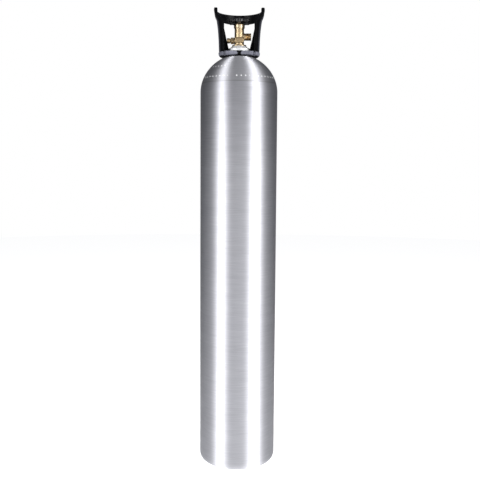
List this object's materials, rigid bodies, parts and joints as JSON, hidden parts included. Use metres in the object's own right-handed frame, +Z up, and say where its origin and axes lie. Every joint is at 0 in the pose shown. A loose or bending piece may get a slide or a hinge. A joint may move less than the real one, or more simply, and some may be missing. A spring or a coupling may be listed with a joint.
{
  "type": "compressed gas cylinder",
  "caption": "Tall brushed aluminium gas cylinder with a brass handwheel valve, a threaded side outlet, a safety relief plug and a black clamped carry handle.",
  "frame": {"origin": "on the floor, at the centre of the cylinder's foot", "axes": "+Z up along the cylinder's axis; +X along the valve's threaded outlet, out of its mouth; -Y towards the open front of the carry handle"},
  "size_m": [0.2184, 0.2184, 1.3018],
  "materials": {
    "cylinder_shell": "brushed round the cylinder, satin",
    "neck_o_ring": "matte",
    "carry_handle": "moulded black polymer with a fine satin texture",
    "handle_clamp_screw": "zinc-plated, dark",
    "handle_clamp_washer": "zinc-plated",
    "handle_clamp_nut": "zinc-plated",
    "valve_body": "forged and shot-blasted block, turned bright elsewhere",
    "bonnet_gasket": "fibre",
    "bonnet_nut": "turned bright",
    "safety_plug": "turned bright",
    "burst_disc": "copper foil",
    "safety_gasket": "soft copper",
    "valve_stem": "turned",
    "stem_o_ring": "matte",
    "stem_thrust_washer": "nylon",
    "handwheel": "moulded black polymer, semi-gloss",
    "handwheel_insert": "turned",
    "handwheel_washer": "zinc-plated",
    "handwheel_spring": "bright wire",
    "handwheel_nut": "zinc-plated",
    "valve_plug": "turned",
    "seat_disc": "nylon"
  },
  "bodies": {
    "cylinder": {"cylinder_shell": "cylinder_shell", "neck_o_ring": "neck_o_ring", "carry_handle": "carry_handle", "handle_clamp_screw": "handle_clamp_screw", "handle_clamp_washer": "handle_clamp_washer", "handle_clamp_nut": "handle_clamp_nut", "valve_body": "valve_body", "bonnet_gasket": "bonnet_gasket", "bonnet_nut": "bonnet_nut", "safety_plug": "safety_plug", "burst_disc": "burst_disc", "safety_gasket": "safety_gasket"},
    "handwheel_and_stem": {"valve_stem": "valve_stem", "stem_o_ring": "stem_o_ring", "stem_thrust_washer": "stem_thrust_washer", "handwheel": "handwheel", "handwheel_insert": "handwheel_insert", "handwheel_washer": "handwheel_washer", "handwheel_spring": "handwheel_spring", "handwheel_nut": "handwheel_nut"},
    "lower_plug": {"valve_plug": "valve_plug", "seat_disc": "seat_disc"}
  },
  "joints": [
    {"name": "handwheel_turn", "type": "hinge", "parent": "cylinder", "child": "handwheel_and_stem", "pos_m": [0, 0, 1.26656], "axis": [0, 0, 1], "range_deg": [0, 540]},
    {"name": "plug_lift", "type": "slide", "parent": "handwheel_and_stem", "child": "lower_plug", "axis": [0, 0, 1], "range_m": [0, 0.0024]}
  ],
  "couplings": [
    {"joint": "plug_lift", "follows": "handwheel_turn", "m_per_rad": 0.00025266}
  ]
}
